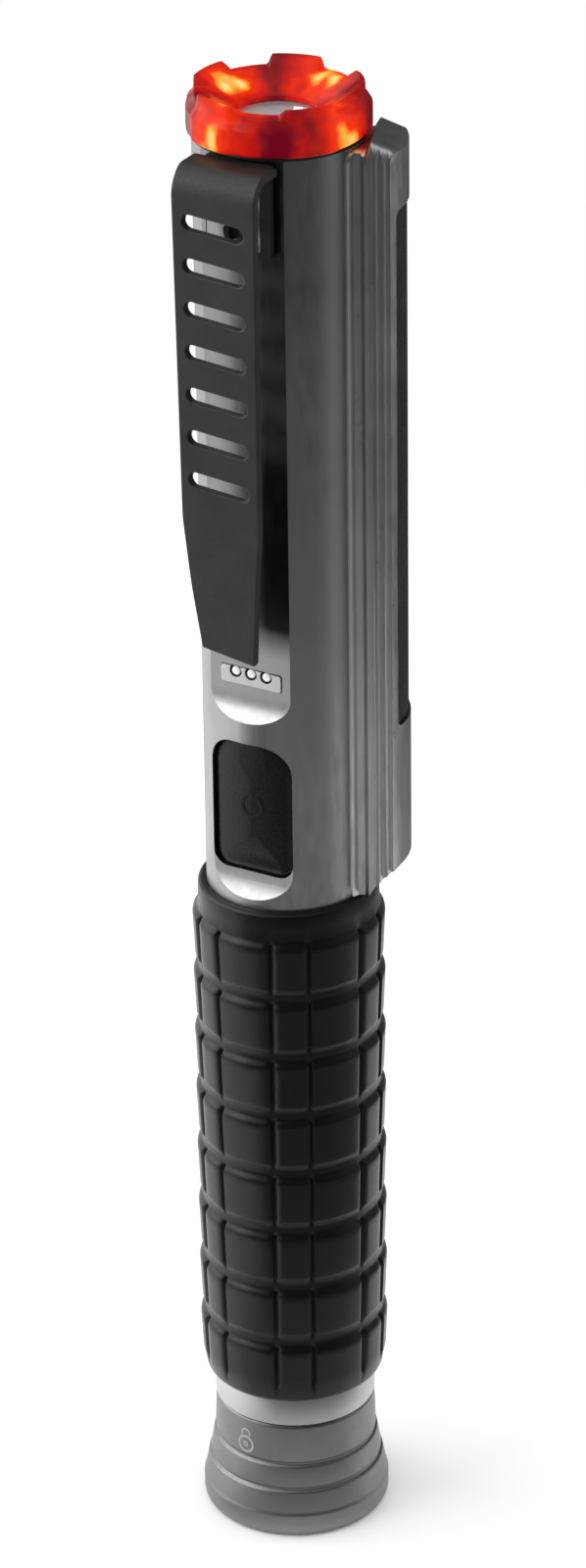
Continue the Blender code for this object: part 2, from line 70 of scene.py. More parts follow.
BODY_LOW, BODY_HIGH = box_mm("body_housing")
GRIP_LOW, GRIP_HIGH = box_mm("grip_sleeve")
CAP_HIGH = box_mm("tail_cap")[1]
RING_LOW, RING_HIGH = box_mm("bezel_ring")
SEAL_LOW, SEAL_HIGH = box_mm("bezel_seal")
NECK_LOW, NECK_HIGH = box_mm("neck_ring")
TUBE_LOW, TUBE_HIGH = box_mm("battery_tube")
LENS_LOW, LENS_HIGH = box_mm("front_lens")
BAR_LENS_LOW, BAR_LENS_HIGH = box_mm("light_bar_lens")
HINGE = Vector(joint("clip_flex")["pos_m"]) / MM
CLIP_TURN = atan2(HINGE.y, HINGE.x)
CLIP_X = hypot(HINGE.x, HINGE.y)


def across_clip(node):
    """A clip-side node's lowest and highest corners, measured along the clip's own directions."""
    back = Matrix.Rotation(-CLIP_TURN, 3, "Z")
    points = [back @ vertex.co / MM for vertex in frame["nodes"][node].data.vertices]
    low = Vector([min(point[i] for point in points) for i in range(3)])
    high = Vector([max(point[i] for point in points) for i in range(3)])
    return low, high


CLIP_LOW, CLIP_HIGH = across_clip("pocket_clip")
BUTTON_LOW, BUTTON_HIGH = across_clip("power_button")
WINDOW_LOW, WINDOW_HIGH = across_clip("indicator_window")
BASE_LOW, BASE_HIGH = across_clip("clip_base")
SCREW_LOW, SCREW_HIGH = across_clip("clip_screw")

# Radii and edges taken from those boxes.
BODY_R = -BODY_LOW.y
BODY_TOP = SEAL_LOW.z - 0.05
PAD_R = GRIP_HIGH.y
CAP_R = CAP_HIGH.y
RING_R = RING_HIGH.x
FLAT_X = WINDOW_HIGH.x - 0.2

# The light bar: half its width, its lower end, its round face, its flutes, and where its roof starts.
BAR_HALF = 7.0
BAR_FOOT = 116.4
BAR_FACE_R = 13.8
BAR_FACE_X = BODY_HIGH.x - BAR_FACE_R
FLUTES_START = 14.3
FLUTES_END = 17.78
FLUTE_PITCH = 1.26
FLUTE_DEPTH = 0.58
ROOF_X = 14.75
LENS_CORNER = 1.1

# The clip's leaf: its slots, the heights where its taper changes, and its thickness.
SLOTS = 7
TOP_SLOT = 231.5
SLOT_PITCH = 6.92
SLOTS_END = 183.7
TAPER_BEND = 173.0
LEAF_THICK = 1.4

# The button's corners and its crown, and how far above the bar's middle the three lamps sit.
BUTTON_CORNER_LOW = 2.5
BUTTON_CORNER_HIGH = 5.0
BUTTON_CROWN = 0.8
LAMP_RISE = 0.6

# The grip's pads: rows up the sleeve, and pairs round it with grooves at these angles into a pair.
PAD_ROWS = 8
ROW_PITCH = 10.6
FIRST_LEDGE = GRIP_HIGH.z - 4.5
PAD_DEPTH = 0.9
LEDGE_R = PAD_R - PAD_DEPTH
PAIR = 60.0
PAD_TURN = 9.0
GROOVES = (18.3, 41.7)

# The tail cap's thread, which its joint follows, and the printed mark's place on the cap.
THREAD_PITCH = 1.5
THREAD_TOP = 17.4
MARK_Z = 16.2
MARK_TURN = -119.7

# The bezel's lobes, with shallow notches between them, and the bore that opens into its funnel.
LOBES = 5
LOBE_TURN = 13.0
NOTCH = 1.5
FUNNEL_R = 6.2
FUNNEL_LOW = 244.25

# The bezel's painted bright spots before each red lamp, as (radius, height), and how far their painted glow
# carries.
BRIGHT_SPOTS = ((14.0, 243.7), (9.7, 246.4))
GLOW_REACH = 14.0

# ---- shapes


def loft(rings, closed=False):
    """Joins sections of equal length. An open loft gets an end face at each end."""
    shape = bmesh.new()
    rows = [[shape.verts.new(point) for point in ring] for ring in rings]
    count = len(rows[0])
    pairs = list(zip(rows, rows[1:]))
    if closed:
        pairs.append((rows[-1], rows[0]))
    for low, high in pairs:
        for i in range(count):
            j = (i + 1) % count
            shape.faces.new((low[i], low[j], high[j], high[i]))
    if not closed:
        shape.faces.new(rows[0][::-1])
        shape.faces.new(rows[-1])
    return shape


def around(sections):
    """A closed ring through (angle, [(radius, height), ...]) sections, with angles in radians."""
    rings = [[(r * cos(a), r * sin(a), z) for r, z in section] for a, section in sections]
    return loft(rings, closed=True)


def turned(profile, steps=144):
    """A (radius, height) outline turned round the z axis."""
    return around([(2 * pi * i / steps, profile) for i in range(steps)])


def disc(radius, low, high, steps=128):
    """An upright cylinder between two heights."""
    shape = bmesh.new()
    place = Matrix.Translation((0, 0, (low + high) / 2))
    bmesh.ops.create_cone(
        shape, cap_ends=True, segments=steps, radius1=radius, radius2=radius, depth=high - low, matrix=place
    )
    return shape


def lying(shape, z, y=0.0):
    """An upright shape laid down along x, at a height."""
    bmesh.ops.rotate(shape, verts=shape.verts, cent=(0, 0, 0), matrix=Matrix.Rotation(pi / 2, 3, "Y"))
    bmesh.ops.translate(shape, verts=shape.verts, vec=(0, y, z))
    return shape


def peg(radius, x_low, x_high, y, z, steps=40):
    """A cylinder lying along x."""
    return lying(disc(radius, x_low, x_high, steps), z, y)


def along_x(outline, low, high):
    """A (y, z) outline thickened along x."""
    return loft([[(x, y, z) for y, z in outline] for x in (low, high)])


def along_y(outline, half):
    """An (x, z) outline thickened along y to both sides."""
    return loft([[(x, y, z) for x, z in outline] for y in (-half, half)])


def arc(centre_a, centre_b, radius, start, sweep, steps):
    """Points round part of a circle, from a start angle through a sweep, both in degrees."""
    angles = [radians(start + sweep * i / steps) for i in range(steps + 1)]
    return [(centre_a + radius * cos(a), centre_b + radius * sin(a)) for a in angles]


def rounded(half, low, high, low_r, high_r, steps=10, middle=0.0):
    """A (y, z) outline with one corner radius at the bottom and one at the top."""
    points = arc(middle + half - low_r, low + low_r, low_r, -90, 90, steps)
    points += arc(middle + half - high_r, high - high_r, high_r, 0, 90, steps)
    points += arc(middle + high_r - half, high - high_r, high_r, 90, 90, steps)
    return points + arc(middle + low_r - half, low + low_r, low_r, 180, 90, steps)


def eased(corners, radius, steps=4):
    """An open outline with each inner corner rounded off."""
    points = [corners[0]]
    for before, corner, after in zip(corners, corners[1:], corners[2:]):
        here = Vector(corner)
        back = Vector(before) - here
        on = Vector(after) - here
        reach = min(radius, back.length * 0.45, on.length * 0.45)
        start = here + back.normalized() * reach
        end = here + on.normalized() * reach
        for i in range(steps + 1):
            t = i / steps
            points.append(tuple(start * (1 - t) ** 2 + here * 2 * t * (1 - t) + end * t * t))
    return points + [corners[-1]]


def blend(low, high, value):
    """Goes smoothly from 0 to 1 as a value goes from low to high."""
    t = min(max((value - low) / (high - low), 0.0), 1.0)
    return t * t * (3 - 2 * t)


def hump(value, width):
    """One at zero, falling smoothly to nothing a few widths away."""
    return exp(-((value / width) ** 2))


# ---- from shapes to pieces


def to_mesh(name, shape, turn):
    """A mesh in metres from a shape in millimetres, turned about the z axis."""
    bmesh.ops.recalc_face_normals(shape, faces=shape.faces)
    place = Matrix.Rotation(turn, 4, "Z") @ Matrix.Scale(MM, 4)
    bmesh.ops.transform(shape, matrix=place, verts=shape.verts)
    mesh = bpy.data.meshes.new(name)
    shape.to_mesh(mesh)
    shape.free()
    return mesh


def carve(target, shape, turn=0.0, operation="DIFFERENCE", look=None):
    """Takes a shape away from a piece, or joins it on. The faces it leaves may have a look of their own."""
    tool = bpy.data.objects.new("tool", to_mesh("tool", shape, turn))
    bpy.context.scene.collection.objects.link(tool)
    if look:
        if LOOKS[look].name not in target.data.materials:
            target.data.materials.append(LOOKS[look])
        for material in target.data.materials:
            tool.data.materials.append(material)
        number = target.data.materials.find(LOOKS[look].name)
        tool.data.polygons.foreach_set("material_index", [number] * len(tool.data.polygons))
    step = target.modifiers.new("carve", "BOOLEAN")
    step.operation = operation
    step.object = tool
    bpy.context.view_layer.update()
    seen = target.evaluated_get(bpy.context.evaluated_depsgraph_get())
    mesh = bpy.data.meshes.new_from_object(seen)
    target.modifiers.clear()
    target.data = mesh
    bpy.data.objects.remove(tool, do_unlink=True)


def piece(name, shape, look, body, stands_for=(), turn=0.0):
    """A piece of the looks, riding on a body and standing for CAD nodes."""
    made = bpy.data.objects.new(name, to_mesh(name, shape, turn))
    bpy.context.scene.collection.objects.link(made)
    made.data.materials.append(LOOKS[look])
    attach(made, body)
    if stands_for:
        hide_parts(*stands_for)
    return made


def smooth(target, angle=35, edge=0.0, segments=2):
    """Rounds a piece's edges by a width in millimetres and shades its round sides smooth."""
    if edge:
        step = target.modifiers.new("edges", "BEVEL")
        step.width = edge * MM
        step.segments = segments
        step.limit_method = "ANGLE"
        step.angle_limit = radians(angle)
        step.harden_normals = True
    target.data.shade_smooth()
    target.data.set_sharp_from_angle(angle=radians(angle))


# ---- materials


class Nodes:
    """A small helper for writing a node tree in order."""

    def __init__(self, name):
        self.material = bpy.data.materials.new(name)
        self.material.use_nodes = True
        self.tree = self.material.node_tree
        self.shader = self.tree.nodes["Principled BSDF"]
        self.place = self.add("ShaderNodeTexCoord").outputs["Object"]

    def add(self, kind, **settings):
        made = self.tree.nodes.new(kind)
        for key, value in settings.items():
            setattr(made, key, value)
        return made

    def link(self, source, target):
        self.tree.links.new(source, target)

    def set(self, **values):
        """Sets shader sockets, with underscores for the spaces in their names."""
        for key, value in values.items():
            socket = self.shader.inputs[key.replace("_", " ")]
            socket.default_value = value

    def stretched(self, scale):
        """Object coordinates scaled by (x, y, z)."""
        made = self.add("ShaderNodeMapping")
        made.inputs["Scale"].default_value = scale
        self.link(self.place, made.inputs["Vector"])
        return made.outputs["Vector"]

    def noise(self, scale, detail=3.0, vector=None, roughness=0.5):
        made = self.add("ShaderNodeTexNoise")
        made.inputs["Scale"].default_value = scale
        made.inputs["Detail"].default_value = detail
        made.inputs["Roughness"].default_value = roughness
        self.link(vector or self.place, made.inputs["Vector"])
        return made.outputs["Fac"]

    def ramp(self, fac, *stops):
        """A colour ramp through (position, colour) stops."""
        made = self.add("ShaderNodeValToRGB")
        band = made.color_ramp.elements
        while len(band) < len(stops):
            band.new(0.5)
        for element, (position, colour) in zip(band, stops):
            element.position = position
            element.color = (*colour, 1.0)
        self.link(fac, made.inputs["Fac"])
        return made.outputs["Color"]

    def spread(self, fac, low, high):
        """Maps a 0.3 to 0.7 noise value onto a range."""
        made = self.add("ShaderNodeMapRange")
        made.inputs["From Min"].default_value = 0.3
        made.inputs["From Max"].default_value = 0.7
        made.inputs["To Min"].default_value = low
        made.inputs["To Max"].default_value = high
        self.link(fac, made.inputs["Value"])
        return made.outputs["Result"]

    def bump(self, height, strength, distance):
        made = self.add("ShaderNodeBump")
        made.inputs["Strength"].default_value = strength
        made.inputs["Distance"].default_value = distance
        self.link(height, made.inputs["Height"])
        self.link(made.outputs["Normal"], self.shader.inputs["Normal"])


def grey(value, tint=0.0):
    """A grey, made bluer by a tint."""
    return (value, value * (1 + tint * 0.5), value * (1 + tint))


def metal(name, tone, roughness, grain=900.0, streak=1.0, depth=0.12, metallic=1.0):
    """Anodised or machined metal: a slight change of tone, and grain drawn out by a streak below one."""
    n = Nodes(name)
    n.set(Metallic=metallic)
    cloud = n.noise(60.0, 4.0)
    colour = n.ramp(cloud, (0.3, grey(tone * 0.92, 0.02)), (0.7, grey(tone * 1.07, 0.02)))
    n.link(colour, n.shader.inputs["Base Color"])
    fine = n.noise(grain, 3.0, n.stretched((1.0, 1.0, streak)), 0.6)
    n.link(n.spread(fine, roughness * 0.85, roughness * 1.2), n.shader.inputs["Roughness"])
    n.bump(fine, depth, 0.00004)
    return n.material


def ramp_along(n, direction, start, end, low=0.0, high=1.0):
    """Goes from one value to another between two distances, in mm, along a direction."""
    along = n.add("ShaderNodeVectorMath", operation="DOT_PRODUCT")
    n.link(n.place, along.inputs[0])
    along.inputs[1].default_value = direction
    reach = n.add("ShaderNodeMapRange")
    reach.inputs["From Min"].default_value = start * MM
    reach.inputs["From Max"].default_value = end * MM
    reach.inputs["To Min"].default_value = low
    reach.inputs["To Max"].default_value = high
    n.link(along.outputs["Value"], reach.inputs["Value"])
    return reach.outputs["Result"]


def flat_metal(tone, painted_shadow_tone, roughness):
    """The milled flats: bright metal, with a painted shadow darkening the strip under and beside the clip's right
    edge, a little paler higher up.
    """
    n = Nodes("flat_metal")
    n.set(Metallic=1.0)
    sideways = (-sin(CLIP_TURN), cos(CLIP_TURN), 0.0)
    up = (0.0, 0.0, 1.0)
    # Painted shadow: a mask growing sideways towards the clip's right edge and upward from just above the clip's
    # tip, where the clip's shadow falls on the flat.
    strip = n.add("ShaderNodeMath", operation="MULTIPLY")
    n.link(ramp_along(n, sideways, -5.5, 3.5), strip.inputs[0])
    n.link(ramp_along(n, up, CLIP_LOW.z - 1.5, CLIP_LOW.z + 4.0), strip.inputs[1])
    # The painted shadow grows paler above 184 mm.
    painted_shadow_paler_above = n.add("ShaderNodeMath", operation="MULTIPLY")
    n.link(strip.outputs[0], painted_shadow_paler_above.inputs[0])
    n.link(ramp_along(n, up, 184.0, 198.0, 1.0, 0.84), painted_shadow_paler_above.inputs[1])
    # A faint random change of tone is added to the painted shadow mask.
    cloud = n.add("ShaderNodeMath", operation="MULTIPLY_ADD")
    n.link(n.noise(80.0, 4.0), cloud.inputs[0])
    cloud.inputs[1].default_value = 0.12
    n.link(painted_shadow_paler_above.outputs[0], cloud.inputs[2])
    colour = n.ramp(cloud.outputs[0], (0.06, grey(tone, 0.02)), (1.0, grey(painted_shadow_tone, 0.02)))
    n.link(colour, n.shader.inputs["Base Color"])
    fine = n.noise(900.0, 3.0, n.stretched((1.0, 1.0, 0.3)), 0.6)
    n.link(n.spread(fine, roughness * 0.85, roughness * 1.2), n.shader.inputs["Roughness"])
    n.bump(fine, 0.15, 0.00004)
    return n.material


def coated(name, tone, roughness, gloss, grain=2000.0, depth=0.3, sheen=0.0):
    """Black rubber or paint: a fine stipple, slightly lighter where it has caught dust."""
    n = Nodes(name)
    n.set(Specular_IOR_Level=gloss, Sheen_Weight=sheen, Sheen_Roughness=0.35)
    dust = n.noise(140.0, 5.0, None, 0.65)
    n.link(n.ramp(dust, (0.35, grey(tone * 0.8)), (0.75, grey(tone * 1.35))), n.shader.inputs["Base Color"])
    stipple = n.noise(grain, 2.0)
    n.link(n.spread(stipple, roughness * 0.88, min(roughness * 1.12, 1.0)), n.shader.inputs["Roughness"])
    n.bump(stipple, depth, 0.00005)
    return n.material


def plastic(name, colour, roughness, depth=0.1, grain=1200.0):
    """Moulded plastic, a board or a coating: a faint cloud in its colour and a fine grain."""
    n = Nodes(name)
    cloud = n.noise(90.0, 3.0)
    darker = tuple(channel * 0.88 for channel in colour)
    n.link(n.ramp(cloud, (0.35, darker), (0.7, colour)), n.shader.inputs["Base Color"])
    fine = n.noise(grain, 2.0)
    n.link(n.spread(fine, roughness * 0.8, roughness * 1.25), n.shader.inputs["Roughness"])
    n.bump(fine, depth, 0.00003)
    return n.material


def clear(name, colour, alpha, roughness):
    """A clear moulding: light passes straight through, and its skin is glossy."""
    n = Nodes(name)
    n.set(Alpha=alpha, IOR=1.5)
    cloud = n.noise(50.0, 2.0)
    paler = tuple(min(channel * 1.1, 1.0) for channel in colour)
    n.link(n.ramp(cloud, (0.3, colour), (0.7, paler)), n.shader.inputs["Base Color"])
    n.link(n.spread(cloud, roughness * 0.7, roughness * 1.4), n.shader.inputs["Roughness"])
    return n.material


def nearest_of(n, point, spots):
    """The distance from a point to the nearest of the spots, in the node tree."""
    nearest = None
    for spot in spots:
        away = n.add("ShaderNodeVectorMath", operation="DISTANCE")
        n.link(point, away.inputs[0])
        away.inputs[1].default_value = spot
        if nearest is None:
            nearest = away.outputs["Value"]
            continue
        least = n.add("ShaderNodeMath", operation="MINIMUM")
        n.link(nearest, least.inputs[0])
        n.link(away.outputs["Value"], least.inputs[1])
        nearest = least.outputs[0]
    return nearest


def wobbled(n, scale, reach):
    """Object coordinates pushed about by a noise, as seen through uneven clear plastic."""
    wobble = n.add("ShaderNodeTexNoise")
    wobble.inputs["Scale"].default_value = scale
    wobble.inputs["Detail"].default_value = 2.0
    n.link(n.place, wobble.inputs["Vector"])
    shift = n.add("ShaderNodeVectorMath", operation="SUBTRACT")
    shift.inputs[1].default_value = (0.5, 0.5, 0.5)
    n.link(wobble.outputs["Color"], shift.inputs[0])
    small = n.add("ShaderNodeVectorMath", operation="SCALE")
    small.inputs["Scale"].default_value = reach
    n.link(shift.outputs[0], small.inputs[0])
    bent = n.add("ShaderNodeVectorMath", operation="ADD")
    n.link(n.place, bent.inputs[0])
    n.link(small.outputs[0], bent.inputs[1])
    return bent.outputs[0]


def glowing_red():
    """Clear red plastic with a painted glow from the lamps inside it: pale and yellow near a lamp, dark red far
    from all, in its emission and in a paler base colour.
    """
    n = Nodes("red_plastic")
    n.set(IOR=1.45, Roughness=0.22, Specular_IOR_Level=0.12)
    spots = []
    for number in (1, 2, 3, 4):
        low, high = box_mm(f"hazard_led_{number}")
        out = Vector(((low.x + high.x) / 2, (low.y + high.y) / 2, 0)).normalized()
        spots += [(out * radius + Vector((0, 0, height))) * MM for radius, height in BRIGHT_SPOTS]
    reach = n.add("ShaderNodeMapRange")
    reach.inputs["From Max"].default_value = GLOW_REACH * MM
    n.link(nearest_of(n, wobbled(n, 260.0, 6.0 * MM), spots), reach.inputs["Value"])
    streaks = n.add("ShaderNodeMath", operation="MULTIPLY_ADD")
    n.link(n.noise(210.0, 1.0, n.stretched((1.0, 1.0, 0.45)), 0.5), streaks.inputs[0])
    streaks.inputs[1].default_value = 0.8
    n.link(reach.outputs["Result"], streaks.inputs[2])
    # Painted glow: the emission colour is set by the distance to the nearest bright spot, broken into streaks.
    glow = n.ramp(
        streaks.outputs[0],
        (0.39, (1.0, 0.85, 0.28)),
        (0.48, (1.0, 0.42, 0.03)),
        (0.57, (0.78, 0.025, 0.0)),
        (0.72, (0.5, 0.001, 0.0)),
        (1.0, (0.1, 0.0, 0.008)),
    )
    n.link(glow, n.shader.inputs["Emission Color"])
    n.set(Emission_Strength=0.85)
    # Painted light in the base colour as well: paler red near the lamps.
    skin = n.ramp(reach.outputs["Result"], (0.1, (0.3, 0.02, 0.005)), (0.7, (0.06, 0.0, 0.002)))
    n.link(skin, n.shader.inputs["Base Color"])
    n.bump(n.noise(420.0, 2.0), 0.2, 0.00006)
    return n.material


def lit(name, colour, strength):
    """A lamp's face, shining in its own colour."""
    n = Nodes(name)
    cells = n.noise(700.0, 2.0)
    dim = tuple(channel * 0.7 for channel in colour)
    shade = n.ramp(cells, (0.3, dim), (0.7, colour))
    n.link(shade, n.shader.inputs["Base Color"])
    n.link(shade, n.shader.inputs["Emission Color"])
    n.set(Emission_Strength=strength, Roughness=0.3)
    return n.material


LOOKS = {
    "body_metal": metal("body_metal", 0.37, 0.36, streak=0.25),
    "bar_metal": metal("bar_metal", 0.75, 0.32, streak=0.25, depth=0.03),
    # The flats' second tone is the painted shadow beside the clip.
    "flat_metal": flat_metal(0.46, 0.03, 0.38),
    "cap_metal": metal("cap_metal", 0.25, 0.42, streak=5.0, depth=0.3),
    "band_metal": metal("band_metal", 0.58, 0.42, streak=6.0, depth=0.2),
    "tube_metal": metal("tube_metal", 0.3, 0.3, streak=5.0),
    "base_steel": metal("base_steel", 0.5, 0.3),
    "clip_steel": coated("clip_steel", 0.014, 0.5, 0.4),
    "dark_screw": metal("dark_screw", 0.06, 0.3, metallic=0.8),
    "mirror_coat": metal("mirror_coat", 0.85, 0.08, depth=0.03),
    "spring_steel": metal("spring_steel", 0.62, 0.22),
    "magnet_nickel": metal("magnet_nickel", 0.6, 0.18, depth=0.05),
    "board_metal": metal("board_metal", 0.6, 0.4),
    "grip_rubber": coated("grip_rubber", 0.0015, 0.36, 0.34, sheen=0.25),
    "black_rubber": coated("black_rubber", 0.006, 0.5, 0.3),
    "button_rubber": coated("button_rubber", 0.002, 0.28, 0.32),
    "smoked_plastic": coated("smoked_plastic", 0.02, 0.25, 0.2, depth=0.04),
    "white_plastic": plastic("white_plastic", (0.8, 0.8, 0.78), 0.4),
    "bright_frame": metal("bright_frame", 0.8, 0.3),
    "lamp_dark": plastic("lamp_dark", (0.8, 0.8, 0.8), 0.15),
    "chip_black": plastic("chip_black", (0.02, 0.02, 0.02), 0.5),
    "circuit_board": plastic("circuit_board", (0.02, 0.12, 0.05), 0.4, depth=0.3, grain=500.0),
    "cell_wrap": plastic("cell_wrap", (0.04, 0.1, 0.3), 0.3),
    "phosphor": plastic("phosphor", (0.85, 0.62, 0.1), 0.5, depth=0.4, grain=600.0),
    "mark_print": plastic("mark_print", (0.3, 0.31, 0.31), 0.45),
    "clear_plastic": clear("clear_plastic", (0.8, 0.82, 0.86), 0.22, 0.05),
    "red_plastic": glowing_red(),
    "led_red": lit("led_red", (1.0, 0.08, 0.02), 3.0),
    "led_white": lit("led_white", (1.0, 0.9, 0.6), 0.8),
}


def dress_frame():
    """Gives each CAD node its own material, for the ones that stay in view."""
    for subpart in frame["record"]["subparts"]:
        node = frame["nodes"][subpart["node"]]
        node.data.materials.clear()
        node.data.materials.append(LOOKS[subpart["material_slot"]])


# ---- head housing


def bar_face(y, inset=0.0):
    """How far out the light bar's rounded face lies at a given y."""
    return BAR_FACE_X + sqrt((BAR_FACE_R - inset) ** 2 - y * y)


def flute(x):
    """The bar's half width at x, with soft flutes along each side wall."""
    if x < FLUTES_START:
        return BAR_HALF
    return BAR_HALF - FLUTE_DEPTH * (0.5 - 0.5 * cos(2 * pi * (x - FLUTES_START) / FLUTE_PITCH))


def bar_low(x):
    """The height of the bar's lower end, which curves up as it goes outward."""
    return BAR_FOOT + 5.0 * sin(pi / 2 * (x - 13.9) / 5.73)


def roof(x):
    """The height of the bar's roof, which stands above the head and falls away outward."""
    return BODY_HIGH.z - 0.4 * (x - ROOF_X)


def bar_slice(x, half, low, high, edge=2.4):
    """One slice of the bar. Its roof is rounded over by the same curve whatever the flutes do."""
    points = [(-half, low), (half, low)]
    for i in range(9):
        a = pi / 2 * i / 8
        points.append((min(half, BAR_HALF - edge + edge * cos(a)), high - edge + edge * sin(a)))
    points += [(-y, z) for y, z in reversed(points[2:])]
    return [(x, y, z) for y, z in points]


def bar_shape():
    """The light bar as slices across x: a hollow beside the head, fluted walls and a round face."""
    top = BODY_TOP - 0.25
    hollow = ((5.0, 6.9), (11.3, 6.9), (11.75, 6.5), (12.1, 6.05), (12.6, 5.9), (13.2, 5.95), (13.5, 6.3))
    slices = [bar_slice(x, half, BAR_FOOT - 0.4, top) for x, half in hollow]
    slices.append(bar_slice(13.9, BAR_HALF, BAR_FOOT, top + 0.05))
    steps = 32
    for i in range(steps + 1):
        x = ROOF_X + (FLUTES_END - ROOF_X) * i / steps
        slices.append(bar_slice(x, flute(x), bar_low(x), roof(x)))
    for share in (0.985, 0.96, 0.92, 0.87, 0.8, 0.7, 0.58, 0.44, 0.28, 0.1):
        x = bar_face(BAR_HALF * share)
        slices.append(bar_slice(x, BAR_HALF * share, bar_low(x), roof(x)))
    return loft(slices)


def scoop(top, low, length):
    """A milled flat's outline: straight down the flat, then curving out through the round side."""
    outline = [(FLAT_X, top), (FLAT_X, low)]
    for i in range(1, 15):
        along = 1.12 * i / 14
        outline.append((FLAT_X + (BODY_R - FLAT_X) * along**2.2, low - length * along))
    return outline + [(outline[-1][0] + 1.0, top)]


def build_housing():
    """The head: a tube with the light bar on it, two milled flats, and openings for the fitted pieces."""
    shell = piece("housing_shell", disc(BODY_R, BODY_LOW.z, BODY_TOP), "body_metal", "body", ["body_housing"])
    carve(shell, bar_shape(), operation="UNION", look="bar_metal")
    below, above = BODY_LOW.z - 1, BODY_TOP + 1
    for radius, low, high in ((10.0, below, above), (11.1, below, 116.3), (10.45, 236.9, above)):
        carve(shell, disc(radius, low, high))
    for top, low, length in ((242.0, 152.3, 4.4), (BUTTON_HIGH.z - 6, 122.1, 4.8)):
        carve(shell, along_y(scoop(top, low, length), 9), CLIP_TURN, look="flat_metal")
    opening = rounded(BUTTON_HIGH.y + 0.15, BUTTON_LOW.z - 0.15, BUTTON_HIGH.z + 0.15, 2.6, 5.1)
    carve(shell, along_x(opening, 6, 14), CLIP_TURN)
    middle = (WINDOW_LOW.y + WINDOW_HIGH.y) / 2
    half = (WINDOW_HIGH.y - WINDOW_LOW.y) / 2 + 0.12
    slot = rounded(half, WINDOW_LOW.z - 0.12, WINDOW_HIGH.z + 0.12, 0.4, 0.4, 3, middle)
    carve(shell, along_x(slot, 6, 14), CLIP_TURN)
    low, high = BAR_LENS_LOW.z - 0.15, BAR_LENS_HIGH.z + 0.15
    window = rounded(BAR_LENS_HIGH.y + 0.15, low, high, LENS_CORNER + 0.1, LENS_CORNER + 0.1)
    carve(shell, along_x(window, 14.4, 21))
    smooth(shell, 30, edge=0.14)


def build_bar_lens():
    """The smoked window over the light strip, following the bar's round face a little below it."""
    low, high = BAR_LENS_LOW.z, BAR_LENS_HIGH.z
    half = BAR_LENS_HIGH.y
    corner = LENS_CORNER
    rings = []
    steps = 28
    for i in range(steps + 1):
        y = half * sin(pi / 2 * (2 * i / steps - 1))
        beyond = max(abs(y) - (half - corner), 0.0)
        rise = corner - sqrt(max(corner * corner - beyond * beyond, 0.0))
        out = bar_face(y, 0.35)
        edge = 0.3
        ring = [(BAR_LENS_LOW.x, y, low + rise), (out - edge, y, low + rise), (out, y, low + rise + edge)]
        ring += [(out, y, high - rise - edge), (out - edge, y, high - rise), (BAR_LENS_LOW.x, y, high - rise)]
        rings.append(ring)
    lens = piece("bar_window", loft(rings), "smoked_plastic", "body", ["light_bar_lens"])
    smooth(lens, 40)


# ---- clip side


def build_clip():
    """The spring clip: one strip, bent at the top, tapering to a slanted tip, with seven slots."""
    corners = [
        (CLIP_X - 0.1, 240.1),
        (17.4, 240.05),
        (19.2, 237.9),
        (CLIP_HIGH.x, 236.2),
        (19.1, SLOTS_END),
        (18.6, TAPER_BEND),
        (17.5, CLIP_LOW.z + 0.75),
    ]
    bends = eased(corners, 2.2, 5)
    rings = []
    for i, (x, z) in enumerate(bends):
        before = Vector(bends[max(i - 1, 0)])
        after = Vector(bends[min(i + 1, len(bends) - 1)])
        along = (after - before).normalized()
        half = clip_width(z) / 2
        drop = 0.7 if i == len(bends) - 1 else 0.0
        inner_x, inner_z = x + along.y * LEAF_THICK, z - along.x * LEAF_THICK
        outer_edge = [(x, -half, z + drop), (x, half, z - drop)]
        rings.append(outer_edge + [(inner_x, half, inner_z - drop), (inner_x, -half, inner_z + drop)])
    clip = piece("clip_leaf", loft(rings), "clip_steel", "clip", ["pocket_clip"], CLIP_TURN)
    for number in range(SLOTS):
        carve(clip, slot_shape(-0.1, TOP_SLOT - SLOT_PITCH * number, 10.4, 2.4, 5.0), CLIP_TURN)
    smooth(clip, 30, edge=0.28, segments=3)


def clip_width(z):
    """The clip narrows a little down to its slots' end, then tapers in two stages."""
    if z > SLOTS_END:
        return 13.5 + 0.7 * min((z - SLOTS_END) / 52.0, 1.0)
    if z > TAPER_BEND:
        return 11.6 + 1.9 * (z - TAPER_BEND) / (SLOTS_END - TAPER_BEND)
    return 11.6 - 2.4 * (TAPER_BEND - z) / 12.1


def slot_shape(y, z, length, width, slant):
    """A round-ended slot, tipped by a few degrees."""
    r = width / 2
    reach = length / 2 - r
    outline = arc(reach, 0.0, r, -90, 180, 10) + arc(-reach, 0.0, r, 90, 180, 10)
    tip = Matrix.Rotation(radians(-slant), 2)
    tipped = [tip @ Vector(point) + Vector((y, z)) for point in outline]
    return along_x([tuple(point) for point in tipped], 15, 22)


